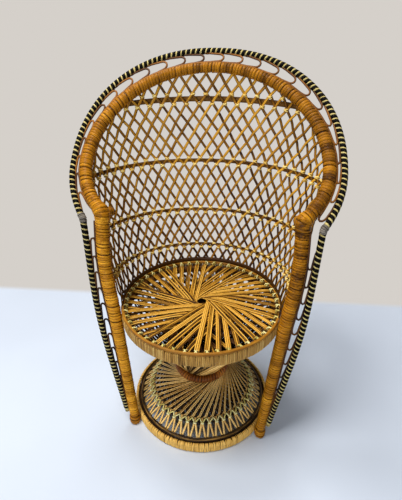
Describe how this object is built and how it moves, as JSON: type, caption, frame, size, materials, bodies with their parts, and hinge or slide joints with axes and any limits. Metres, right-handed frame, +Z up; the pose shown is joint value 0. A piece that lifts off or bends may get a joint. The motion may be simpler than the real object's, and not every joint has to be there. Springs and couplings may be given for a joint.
{
  "type": "peacock chair",
  "caption": "Small free-standing peacock chair of bound rattan and cane: round woven seat on an hourglass pedestal, flared lattice back in a leaning hoop, striped trim.",
  "frame": {"origin": "on the floor under the middle of the chair's box", "axes": "+Z up, -Y towards the front of the seat, +X to the right of someone facing the chair"},
  "size_m": [0.28, 0.2044, 0.4056],
  "materials": {
    "rattan_pole": "bare rattan pole, hidden under its binding",
    "cane_binding": "golden cane wound edge to edge, varnished",
    "trim_cream": "cream cane stripe",
    "trim_black": "black dyed cane stripe, satin",
    "lashing_twine": "grey twine lashing",
    "scallop_cane": "thin dark orange cane",
    "pale_twine": "pale yellow twine",
    "dark_reed": "dark flat reed",
    "lattice_cane": "golden brown cane strands, varnished",
    "pedestal_cane": "golden brown reed strands, varnished",
    "waist_cane": "reddish brown cane binding",
    "seat_cane": "flat golden reed, satin",
    "seat_rim_cane": "pale tan upright strips",
    "rim_rod_cane": "orange brown thin rod",
    "base_rim_cane": "golden upright strips"
  },
  "bodies": {
    "root": {"band_1_lacing": "pale_twine", "band_1_reed": "dark_reed", "band_2_lacing": "pale_twine", "band_2_reed": "dark_reed", "band_3_lacing": "pale_twine", "band_3_reed": "dark_reed", "band_4_lacing": "pale_twine", "band_4_reed": "dark_reed", "base_rim_band": "base_rim_cane", "base_ring_pole": "rattan_pole", "hoop_binding": "cane_binding", "hoop_pole": "rattan_pole", "hoop_scallops": "scallop_cane", "lattice_panel_1": "lattice_cane", "lattice_panel_2": "lattice_cane", "lattice_panel_3": "lattice_cane", "lattice_panel_4": "lattice_cane", "lattice_panel_5": "lattice_cane", "left_foot": "cane_binding", "left_knuckle": "cane_binding", "left_leg_binding": "cane_binding", "left_leg_pole": "rattan_pole", "left_leg_scallops": "scallop_cane", "left_side_trim_rod": "trim_cream", "left_side_trim_wrapping": "trim_black", "left_trim_lashing": "lashing_twine", "right_foot": "cane_binding", "right_knuckle": "cane_binding", "right_leg_binding": "cane_binding", "right_leg_pole": "rattan_pole", "right_leg_scallops": "scallop_cane", "right_side_trim_rod": "trim_cream", "right_side_trim_wrapping": "trim_black", "right_trim_lashing": "lashing_twine", "seat_mat": "seat_cane", "seat_rim_band": "seat_rim_cane", "seat_rim_lacing": "pale_twine", "seat_rim_rod": "rim_rod_cane", "seat_ring_pole": "rattan_pole", "skirt_strands_1": "pedestal_cane", "skirt_strands_2": "pedestal_cane", "skirt_strands_3": "pedestal_cane", "skirt_strands_4": "pedestal_cane", "skirt_strands_5": "pedestal_cane", "skirt_strands_6": "pedestal_cane", "skirt_twine": "pale_twine", "top_trim_rod": "trim_cream", "top_trim_wrapping": "trim_black", "upper_strands_1": "pedestal_cane", "upper_strands_2": "pedestal_cane", "upper_strands_3": "pedestal_cane", "upper_strands_4": "pedestal_cane", "upper_strands_5": "pedestal_cane", "upper_strands_6": "pedestal_cane", "waist_ring": "waist_cane"}
  },
  "joints": []
}
